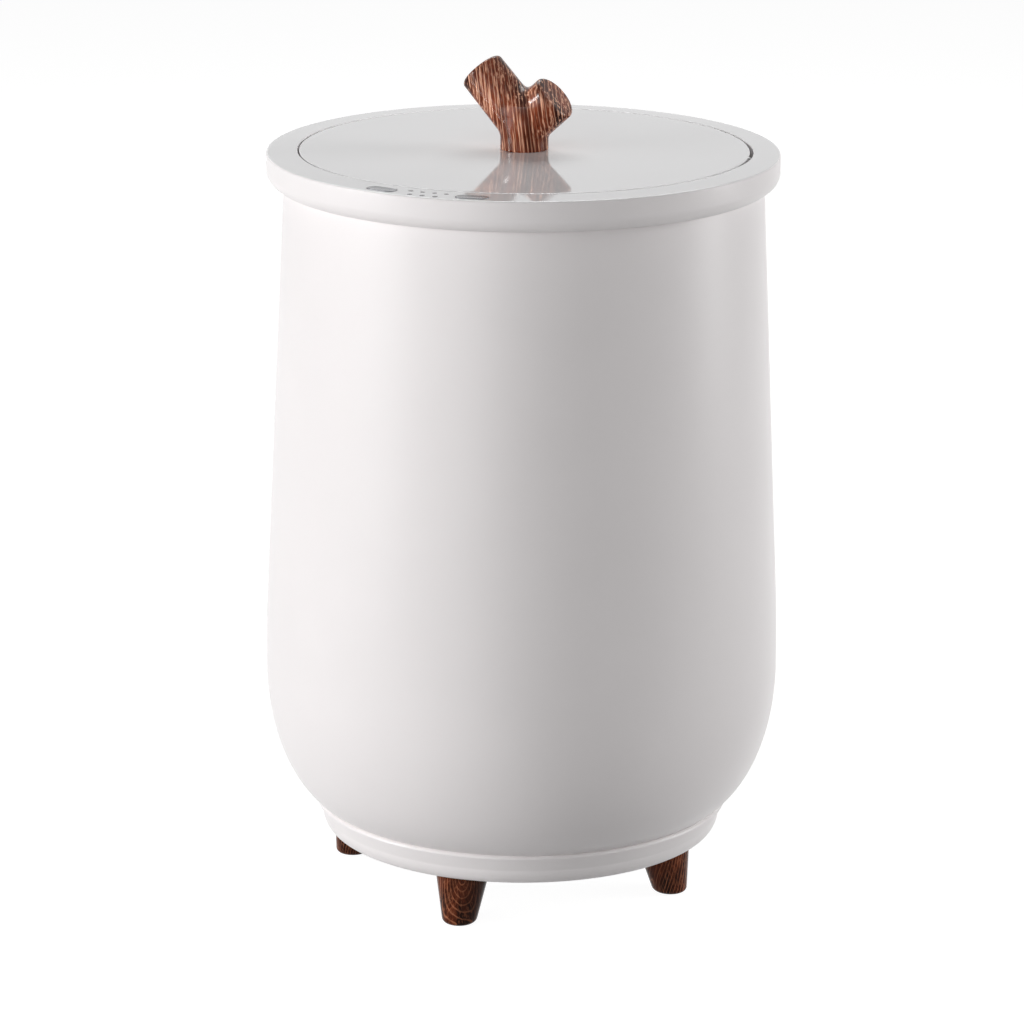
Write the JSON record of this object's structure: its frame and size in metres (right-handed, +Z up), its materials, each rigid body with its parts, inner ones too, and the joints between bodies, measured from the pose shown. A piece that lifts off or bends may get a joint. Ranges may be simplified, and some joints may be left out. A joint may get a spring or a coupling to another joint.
{
  "type": "towel warmer bucket",
  "caption": "Barrel-shaped heated towel bucket on splayed wooden legs, with a lift-off lid, a forked wooden handle and push buttons on its top ring.",
  "frame": {"origin": "on the floor, under the barrel's axis", "axes": "+Z up along the barrel's axis; the control panel is towards -Y"},
  "size_m": [0.3299, 0.33, 0.5378],
  "materials": {
    "barrel_white": "white moulded plastic, satin gloss",
    "lid_white": "pale glossy moulded plastic, mirror-like",
    "leg_wood": "dark reddish brown turned wood, lacquered",
    "handle_wood": "dark reddish brown wood with light streaks, lacquered",
    "button_grey": "metallic grey",
    "indicator": "grey smoked light guide",
    "bucket_metal": "drawn aluminium, satin",
    "steel": "zinc-plated steel",
    "rubber": "soft black rubber",
    "seal": "pale silicone",
    "felt": "pale needled felt",
    "heater_film": "orange silicone heater",
    "base_plastic": "pale matt plastic",
    "board": "green circuit board",
    "electronics": "moulded component bodies",
    "black_plastic": "black moulded plastic",
    "wire_red": "heat-proof wire sleeve"
  },
  "bodies": {
    "cabinet": {"leg_front": "leg_wood", "leg_right": "leg_wood", "leg_back": "leg_wood", "leg_left": "leg_wood", "leg_bolts": "steel", "plinth_tray": "barrel_white", "service_plate": "base_plastic", "service_plate_screws": "steel", "cord_gland": "rubber", "power_board": "board", "power_parts": "electronics", "terminal_block": "electronics", "power_board_screws": "steel", "outer_shell": "barrel_white", "shell_screws": "steel", "carrier_posts": "base_plastic", "carrier_plate": "steel", "insulation_pad": "felt", "base_heater": "heater_film", "thermostat": "steel", "thermal_fuse": "base_plastic", "inner_bucket": "bucket_metal", "side_heating_film": "heater_film", "insulation_sleeve": "felt", "bucket_gasket": "seal", "top_ring": "lid_white", "control_board": "board", "control_board_screws": "steel", "tact_switches": "black_plastic", "indicator_leds": "indicator", "indicator_lens": "indicator", "control_cable": "black_plastic", "heater_lead": "wire_red"},
    "lid": {"lid_panel": "lid_white", "lid_pan": "bucket_metal", "lid_insulation": "felt", "lid_seal": "seal", "handle": "handle_wood", "handle_screw": "steel", "handle_washer": "steel"},
    "power_button": {"button_power": "button_grey"},
    "timer_button": {"button_timer": "button_grey"}
  },
  "joints": [
    {"name": "lid_lift", "type": "slide", "parent": "cabinet", "child": "lid", "axis": [0, 0, 1], "range_m": [0, 0.3]},
    {"name": "power_press", "type": "slide", "parent": "cabinet", "child": "power_button", "axis": [0, 0, -1], "range_m": [0, 0.0008], "stiffness_N_per_m": 600, "springref_m": -0.0005},
    {"name": "timer_press", "type": "slide", "parent": "cabinet", "child": "timer_button", "axis": [0, 0, -1], "range_m": [0, 0.0008], "stiffness_N_per_m": 600, "springref_m": -0.0005}
  ]
}
